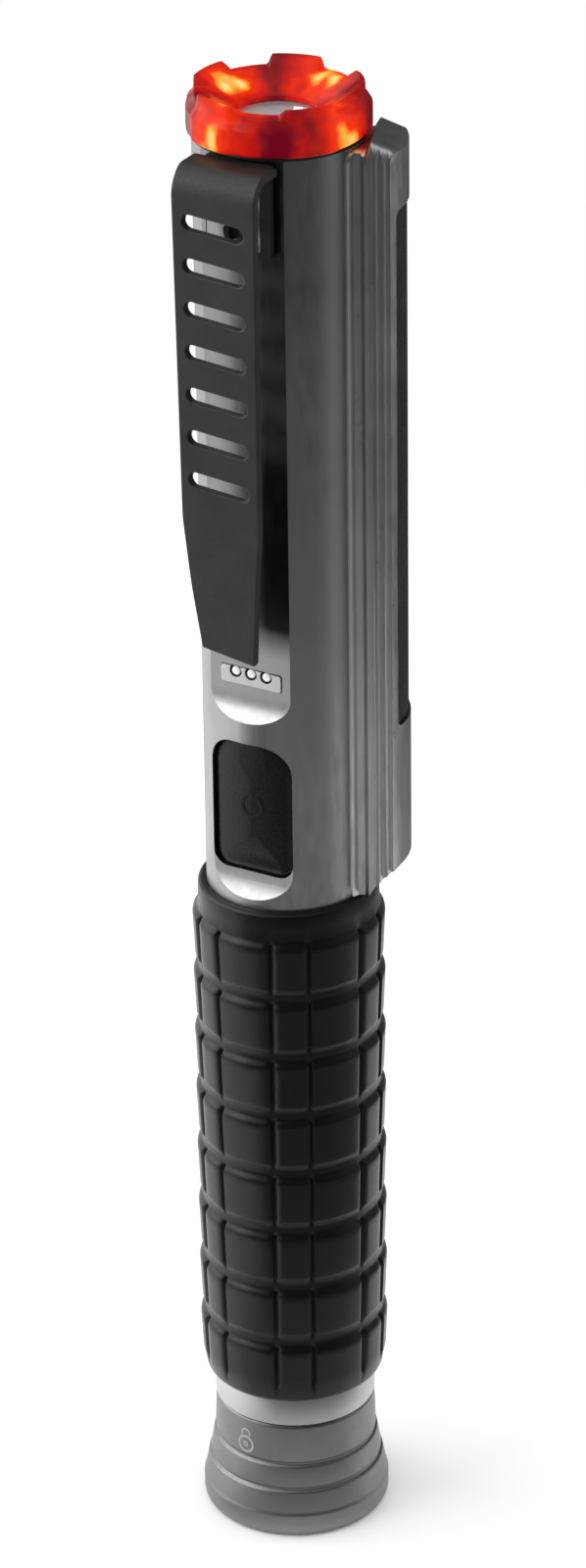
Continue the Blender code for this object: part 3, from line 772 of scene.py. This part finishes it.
def build_clip_foot():
    """The clip's foot, bare on most of its face and black elsewhere, with a socket-head screw."""
    foot = rounded(BASE_HIGH.y, BASE_LOW.z, BASE_HIGH.z, 0.8, 0.3, 4)
    plate = along_x(foot, BASE_LOW.x, BASE_HIGH.x)
    base = piece("clip_foot", plate, "clip_steel", "body", ["clip_base"], CLIP_TURN)
    middle = (SCREW_LOW.z + SCREW_HIGH.z) / 2
    carve(base, peg(1.3, 10, 14, 0.0, middle), CLIP_TURN)
    bare = rounded(BASE_HIGH.y - 0.9, BASE_LOW.z + 0.9, BASE_HIGH.z - 0.3, 0.5, 0.2, 4, -0.9)
    carve(base, along_x(bare, BASE_HIGH.x - 0.05, 16), CLIP_TURN, look="base_steel")
    smooth(base, 30, edge=0.15)
    radius = SCREW_HIGH.y
    shank, end = 1.1, 10.1
    head = 12.4
    top = SCREW_HIGH.x
    profile = [(shank, end), (shank, head), (radius, head), (radius, top - 0.35), (radius - 0.35, top)]
    profile += [(1.15, top), (0.95, top - 0.25), (0.95, head + 0.5), (0.05, head + 0.35), (0.05, end)]
    screw = lying(turned(profile, 48), middle)
    smooth(piece("foot_screw", screw, "dark_screw", "body", ["clip_screw"], CLIP_TURN))


def build_button():
    """The rubber button: a gently crowned pad with soft edges and a low raised power mark."""
    low, high = BUTTON_LOW.z, BUTTON_HIGH.z
    half = BUTTON_HIGH.y
    face = BUTTON_HIGH.x
    edge = ((1.9, 0.0), (0.75, 0.0), (0.4, 0.06), (0.18, 0.2), (0.04, 0.5), (0.0, 1.1))
    across_face = [(0.0, inset) for inset in (2.0, 3.2, 4.6, 6.0, 6.9)]
    rings = []
    for back, inset in [*edge, *across_face]:
        low_r = BUTTON_CORNER_LOW - inset if inset < 2.0 else 0.15
        high_r = BUTTON_CORNER_HIGH - inset if inset < 4.5 else 0.15
        outline = rounded(half - inset, low + inset, high - inset, low_r, high_r, 12)
        crown = 0.0 if back > 1 else BUTTON_CROWN
        rings.append([(face - back - crown * (y / half) ** 2, y, z) for y, z in outline])
    pad = piece("button_pad", loft(rings), "button_rubber", "button", ["power_button"], CLIP_TURN)
    plunger_low, plunger_high = box_mm("switch_plunger")
    carve(pad, peg(1.9, 8.75, 9.6, 0.0, (plunger_low.z + plunger_high.z) / 2), CLIP_TURN, "UNION")
    smooth(pad, 35)
    middle = (low + high) / 2
    ring = arc(0.0, middle, 1.9, 120, 300, 28) + arc(0.0, middle, 1.45, 60, -300, 28)
    bar = rounded(0.24, middle + 0.5, middle + 2.3, 0.2, 0.2, 4)
    for number, outline in enumerate((ring, bar)):
        raised = along_x(outline, face - 0.4, face + 0.05)
        mark = piece(f"button_mark_{number + 1}", raised, "button_rubber", "button", (), CLIP_TURN)
        smooth(mark, 35)


def build_indicator():
    """The charge indicator: a bright bar with three lamps, each in a steel-edged hole in its upper half."""
    middle = (WINDOW_LOW.y + WINDOW_HIGH.y) / 2
    half = (WINDOW_HIGH.y - WINDOW_LOW.y) / 2
    outline = rounded(half, WINDOW_LOW.z, WINDOW_HIGH.z, 0.35, 0.35, 4, middle)
    shape = along_x(outline, WINDOW_LOW.x, WINDOW_HIGH.x)
    bar = piece("indicator_bar", shape, "bright_frame", "body", ["indicator_window"], CLIP_TURN)
    for number in (1, 2, 3):
        node = f"indicator_lamp_{number}"
        low, high = across_clip(node)
        y, z = (low.y + high.y) / 2, (low.z + high.z) / 2 + LAMP_RISE
        carve(bar, peg(1.05, 8, 13, y, z), CLIP_TURN, look="base_steel")
        top = high.x
        dome = [(0.7, low.x), (0.7, top - 0.2), (0.58, top - 0.04), (0.35, top + 0.04), (0.02, top + 0.07)]
        lamp = lying(turned(dome + [(0.02, low.x)], 32), z, y)
        smooth(piece(f"lamp_dome_{number}", lamp, "lamp_dark", "body", [node], CLIP_TURN))
    smooth(bar, 30, edge=0.12)


# ---- grip


def row_height(z):
    """How far a pad stands above the ledges at a height: a rounded lip, then a slope down to a steep foot."""
    drop = (FIRST_LEDGE - z) % ROW_PITCH
    if z > FIRST_LEDGE or z < FIRST_LEDGE - ROW_PITCH * (PAD_ROWS - 1) - 8.9:
        return 0.0
    lip = blend(0.0, 1.5, drop)
    foot = 1.0 - blend(8.5, 9.6, drop)
    lean = 1.0 - 0.42 * drop / 8.6
    return PAD_DEPTH * lip * foot * lean


def grip_radius(angle, z):
    """The sleeve's radius. Each pair is a wide pad and a narrow, slightly lower one, parted by grooves."""
    wrap = 17.0
    into_pair = (angle - PAD_TURN + wrap) % PAIR - wrap
    first, last = GROOVES
    away = min(abs(into_pair - groove) for groove in GROOVES) * PAD_R * pi / 180
    narrow = blend(first, first + 1.0, into_pair) * (1 - blend(last - 1.0, last, into_pair))
    height = row_height(z)
    side = 1.0 - hump(away, 0.5)
    dip = 0.35 * hump(away, 0.42) * blend(0.0, 0.3, height)
    return LEDGE_R + height * (0.25 + 0.75 * side) * (1.0 - 0.1 * narrow) - dip


def grip_heights():
    """Heights up the sleeve, close together where a ledge turns."""
    steps = (0.0, 0.25, 0.5, 0.8, 1.15, 1.6, 2.4, 3.6, 5.0, 6.4, 7.6, 8.3, 8.65, 9.0, 9.35, 9.7, 10.1)
    found = []
    for row in range(PAD_ROWS):
        found += [FIRST_LEDGE - ROW_PITCH * row - step for step in steps]
    return sorted(z for z in found if z > GRIP_LOW.z + 3.2)


def grip_angles():
    """Angles round the sleeve, close together across each groove."""
    steps = (-3.0, -1.9, -1.2, -0.6, 0.0, 0.6, 1.2, 1.9, 3.0)
    near_groove = {groove + step for groove in GROOVES for step in steps}
    on_pads = {-14.0, -10.0, -5.0, 0.0, 5.0, 10.0, 14.0, 24.0, 27.0, 30.0, 33.0, 36.0}
    pairs = int(360.0 / PAIR)
    return sorted(PAD_TURN + PAIR * pair + angle for pair in range(pairs) for angle in near_groove | on_pads)


def build_grip():
    """The rubber sleeve: a collar at each end and rows of pads between them, in one skin."""
    top, low = GRIP_HIGH.z, GRIP_LOW.z
    bore, shoulder_bore, shoulder = 12.5, 13.2, 111.9
    foot = [(LEDGE_R - 0.6, low), (LEDGE_R - 0.15, low + 0.2), (LEDGE_R + 0.05, low + 0.7)]
    foot.append((LEDGE_R + 0.35, low + 2.6))
    head = [(LEDGE_R - 0.1, top - 2.6), (LEDGE_R - 0.15, top - 0.6), (LEDGE_R - 0.3, top - 0.2)]
    head.append((LEDGE_R - 0.7, top))
    inside = [(shoulder_bore, top), (shoulder_bore, shoulder), (bore, shoulder), (bore, low)]
    heights = grip_heights()
    sections = []
    for angle in grip_angles():
        skin = [(grip_radius(angle, z), z) for z in heights]
        sections.append((radians(angle), foot + skin + head + inside))
    grip = piece("grip_rubber_sleeve", around(sections), "grip_rubber", "body", ["grip_sleeve"])
    smooth(grip, 50)


# ---- tail, neck and tube


def build_tail():
    """The flared tail cap with its two grooves, and the bright band between it and the grip."""
    r = CAP_R
    outside = [
        (r - 1.2, 0.0),
        (r - 0.45, 0.3),
        (r, 1.3),
        (r, 4.1),
        (r - 0.25, 4.6),
        (r - 0.9, 8.25),
        (r - 1.42, 8.5),
        (r - 1.42, 8.9),
        (r - 1.22, 9.1),
        (r - 1.8, 12.65),
        (r - 2.25, 12.85),
        (r - 2.25, 13.3),
        (r - 2.05, 13.55),
        (r - 2.25, 19.9),
        (r - 2.5, CAP_HIGH.z),
        (12.5, CAP_HIGH.z),
    ]
    skin = eased(outside, 0.35, 3)
    inside = [(12.5, 7.0), (0.6, 7.0), (0.6, 4.8), (12.2, 4.8), (12.2, 0.25), (12.4, 0.0)]
    cap = piece("cap_shell", turned(skin + inside), "cap_metal", "tail", ["tail_cap"])
    smooth(cap, 35)
    ring = [(12.45, NECK_LOW.z), (13.05, NECK_LOW.z), (13.2, NECK_LOW.z + 0.15)]
    ring += [(13.2, NECK_HIGH.z - 0.15), (13.1, NECK_HIGH.z), (12.45, NECK_HIGH.z)]
    smooth(piece("neck_band", turned(ring), "band_metal", "body", ["neck_ring"]))


def build_tube():
    """The battery tube, with a real thread where the tail cap screws on."""
    outer, bore, spigot, groove = TUBE_HIGH.y, 10.0, 10.9, 11.6
    groove_low, groove_high, shoulder = 18.0, 19.5, 111.8
    thread_low = TUBE_LOW.z + 0.8
    level = THREAD_PITCH / 8
    levels = [thread_low + level * i for i in range(int((THREAD_TOP - thread_low) / level) + 1)]
    steps = 96
    sections = []
    for i in range(steps):
        turn = i / steps
        skin = [(bore, TUBE_LOW.z), (outer - 0.6, TUBE_LOW.z), (outer - 0.45, TUBE_LOW.z + 0.4)]
        for z in levels:
            phase = (z / THREAD_PITCH - turn) % 1.0
            fade = blend(thread_low, thread_low + 1, z) - blend(THREAD_TOP - 1, THREAD_TOP, z)
            skin.append((outer + 0.04 - 0.5 * abs(2 * phase - 1) * fade, z))
        skin += [(outer, groove_low), (groove, groove_low), (groove, groove_high), (outer, groove_high)]
        skin += [(outer, shoulder), (spigot, shoulder), (spigot, TUBE_HIGH.z), (bore, TUBE_HIGH.z)]
        sections.append((2 * pi * turn, skin))
    tube = piece("threaded_tube", around(sections), "tube_metal", "body", ["battery_tube"])
    smooth(tube, 40)


# ---- bezel ring and front lens


def ring_section(offset):
    """The bezel's section at an angle from the middle of a lobe. A notch cuts the rim, not the funnel."""
    away = abs(offset)
    top = RING_HIGH.z - NOTCH * blend(16.8, 21.0, away)
    band = RING_R - 0.42 * blend(13.5, 22.5, away)
    low = SEAL_HIGH.z + 0.05
    rim = FUNNEL_R + (top - FUNNEL_LOW) * 1.5
    crown = max(band - 1.35, rim + 0.5)
    return [
        (10.3, RING_LOW.z),
        (10.3, low),
        (band - 0.45, low),
        (band - 0.05, low + 0.35),
        (band, low + 0.9),
        (band, low + 3.9),
        (band - 0.3, low + 4.4),
        (band - 0.85, low + 4.95),
        (band - 1.05, min(low + 5.6, top - 0.35)),
        (band - 1.12, top - 0.15),
        (crown, top),
        (rim + 0.25, top),
        (rim, top - 0.14),
        (FUNNEL_R, FUNNEL_LOW),
        (5.9, 244.0),
        (5.9, 243.35),
        (9.8, 243.35),
        (9.8, RING_LOW.z),
    ]


def build_bezel():
    """The red bezel ring, the black seal under it and the lens inside it."""
    lobe_edge = 180.0 / LOBES
    offsets = [-lobe_edge, -32.0, -28.0, -25.0, -23.0, -21.5, -20.0, -18.5, -17.0, -15.0, -13.5, -9.0, -4.5]
    offsets += [0.0] + [-offset for offset in reversed(offsets[1:])]
    sections = []
    for lobe in range(LOBES):
        turn = LOBE_TURN + 360.0 / LOBES * lobe
        sections += [(radians(turn + offset), ring_section(offset)) for offset in offsets]
    ring = piece("bezel_crown", around(sections), "red_plastic", "body", ["bezel_ring"])
    smooth(ring, 28)
    seal = [(10.7, SEAL_LOW.z), (13.1, SEAL_LOW.z), (13.2, SEAL_LOW.z + 0.3)]
    seal += [(13.1, SEAL_HIGH.z), (10.7, SEAL_HIGH.z)]
    smooth(piece("bezel_gasket", turned(seal), "black_rubber", "body", ["bezel_seal"]))
    r, shoulder = 8.0, LENS_HIGH.z - 0.25
    lens = [(0.02, LENS_LOW.z), (r, LENS_LOW.z), (r, shoulder)]
    lens += [(r * cos(a), shoulder + 0.3 * sin(a)) for a in (0.3, 0.7, 1.1, 1.4)]
    lens.append((0.02, LENS_HIGH.z + 0.05))
    smooth(piece("front_glass", turned(lens), "clear_plastic", "body", ["front_lens"]))


# ---- the mark on the tail cap


def on_cap(outline, proud):
    """An (across, up) outline wrapped on to the cap, standing proud of its skin."""
    points = []
    for across, up in outline:
        z = MARK_Z + up
        r = CAP_R - 2.05 - 0.0315 * (z - 13.55) + proud
        a = radians(MARK_TURN) + across / r
        points.append((r * cos(a), r * sin(a), z))
    return points


def printed_ring(radius, line, sweep, steps):
    """A thin ring with a small gap, as printed."""
    outer = arc(0.0, -0.75, radius, 0, sweep, steps)
    inner = arc(0.0, -0.75, radius - line, 0, sweep, steps)
    levels = ((outer, -0.05), (outer, 0.04), (inner, 0.04), (inner, -0.05))
    return loft([on_cap(outline, proud) for outline, proud in levels], closed=True)


def build_lock_mark():
    """A plain padlock mark: a round body with a keyhole, and a shackle over it."""
    shackle = arc(0.0, 1.25, 0.95, -30, 240, 24) + arc(0.0, 1.25, 0.62, 210, -240, 24)
    shapes = [
        printed_ring(1.6, 0.4, 352, 44),
        printed_ring(0.5, 0.28, 340, 17),
        loft([on_cap(shackle, -0.05), on_cap(shackle, 0.04)]),
    ]
    for number, shape in enumerate(shapes):
        piece(f"lock_mark_{number + 1}", shape, "mark_print", "tail")


# ---- stage, light and camera


def build_floor():
    """A round pale floor with its top at zero."""
    n = Nodes("pale_floor")
    n.link(n.ramp(n.noise(3.0), (0.3, grey(0.93)), (0.7, grey(0.95))), n.shader.inputs["Base Color"])
    n.set(Roughness=0.9)
    made = bpy.data.objects.new("floor", to_mesh("floor", disc(420.0, -1.0, 0.0, 96), 0.0))
    bpy.context.scene.collection.objects.link(made)
    made.data.materials.append(n.material)


def around_camera(azimuth, elevation=0.0):
    """A direction counted from the camera's side of the baton, to the right and up, in degrees."""
    a = radians(azimuth - 81.0)
    e = radians(elevation)
    return Vector((cos(a) * cos(e), sin(a) * cos(e), sin(e)))


def softbox(name, azimuth, elevation, distance, width, height, radiance):
    """An area light aimed at the baton's middle."""
    away = around_camera(azimuth, elevation)
    light = bpy.data.lights.new(name, "AREA")
    light.shape = "RECTANGLE"
    light.size = width
    light.size_y = height
    light.energy = radiance * pi * width * height
    lamp = bpy.data.objects.new(name, light)
    bpy.context.scene.collection.objects.link(lamp)
    lamp.location = Vector((0.0, 0.0, 0.15)) + away * distance
    lamp.rotation_mode = "QUATERNION"
    lamp.rotation_quaternion = (-away).to_track_quat("-Z", "Y")


def card(name, start, end, distance, low, high, tone, reach=1.0):
    """A curved card that shows only in reflections. It goes round from a start angle to an end angle."""
    far = distance + reach
    section = ((distance, low), (distance, high), (far, high), (far, low))
    rings = []
    for i in range(25):
        way = around_camera(start + (end - start) * i / 24)
        rings.append([way * r + Vector((0, 0, z)) for r, z in section])
    shape = loft(rings)
    made = bpy.data.objects.new(name, to_mesh(name, shape, 0.0))
    bpy.context.scene.collection.objects.link(made)
    n = Nodes(name)
    n.set(Roughness=1.0, Specular_IOR_Level=0.0, Emission_Strength=1.0)
    n.set(Emission_Color=(*grey(tone), 1.0), Base_Color=(0.0, 0.0, 0.0, 1.0))
    made.data.materials.append(n.material)
    made.visible_camera = False
    made.visible_diffuse = False
    made.visible_shadow = False
    made.visible_transmission = False


def build_stage():
    """A floor, a white surround, three softboxes, and cards for the metal and the rubber to reflect."""
    build_floor()
    world = bpy.data.worlds.new("studio")
    world.use_nodes = True
    world.node_tree.nodes["Background"].inputs["Color"].default_value = (1.0, 1.0, 1.0, 1.0)
    world.node_tree.nodes["Background"].inputs["Strength"].default_value = 1.0
    bpy.context.scene.world = world
    softbox("left_box", -105, 22, 0.75, 0.45, 0.8, 2.0)
    softbox("front_left_box", -66, 34, 0.8, 0.4, 0.5, 3.0)
    softbox("right_box", 105, 18, 0.8, 0.3, 0.8, 1.6)
    # Walls. The low ones are seen in the head's upper half, the high one in faces that look upward.
    card("front_card", -58, 62, 300, 0, 420, 0.065)
    card("right_card", 62, 91, 300, 0, 420, 0.3)
    card("upper_card", -40, 91, 300, 420, 900, 0.12)
    card("back_card", 91, 200, 300, 0, 900, 0.06)
    # Flat rings on the floor. An upright side shows the floor about twice as far out as it is high.
    card("foot_floor_card", -64, 66, 18, 0.5, 1.0, 0.62, reach=57)
    card("grip_floor_card", -40, 90, 76, 0.5, 1.0, 0.1, reach=124)
    card("button_floor_card", -66, -28, 201, 0.5, 1.0, 0.12, reach=98)
    card("front_floor_card", -28, 66, 201, 0.5, 1.0, 0.65, reach=98)
    card("back_floor_card", 100, 200, 200, 0.5, 1.0, 0.15, reach=100)
    bpy.context.scene.view_settings.view_transform = "Standard"


def build_camera():
    """A long lens above the baton's front left, looking down at it."""
    camera = bpy.data.cameras.new("camera")
    camera.sensor_fit = "VERTICAL"
    camera.sensor_height = 36.0
    camera.sensor_width = 36.0
    camera.lens = 131.2
    camera.clip_start = 0.01
    viewer = bpy.data.objects.new("camera", camera)
    bpy.context.scene.collection.objects.link(viewer)
    pitch, yaw, roll = radians(26.456), radians(0.066), radians(0.769)
    forward = Vector((sin(yaw) * cos(pitch), cos(yaw) * cos(pitch), -sin(pitch)))
    right = forward.cross(Vector((0, 0, 1))).normalized()
    down = forward.cross(right)
    level_right = cos(roll) * right + sin(roll) * down
    level_down = cos(roll) * down - sin(roll) * right
    turn = Matrix((level_right, -level_down, -forward)).transposed().to_4x4()
    stand = Matrix.Translation((0.0, -0.80654, 0.53309))
    viewer.matrix_world = Matrix.Rotation(radians(9.0), 4, "Z") @ stand @ turn
    bpy.context.scene.camera = viewer


dress_frame()
build_housing()
build_bar_lens()
build_clip()
build_clip_foot()
build_button()
build_indicator()
build_grip()
build_tail()
build_lock_mark()
build_tube()
build_bezel()
build_stage()
build_camera()
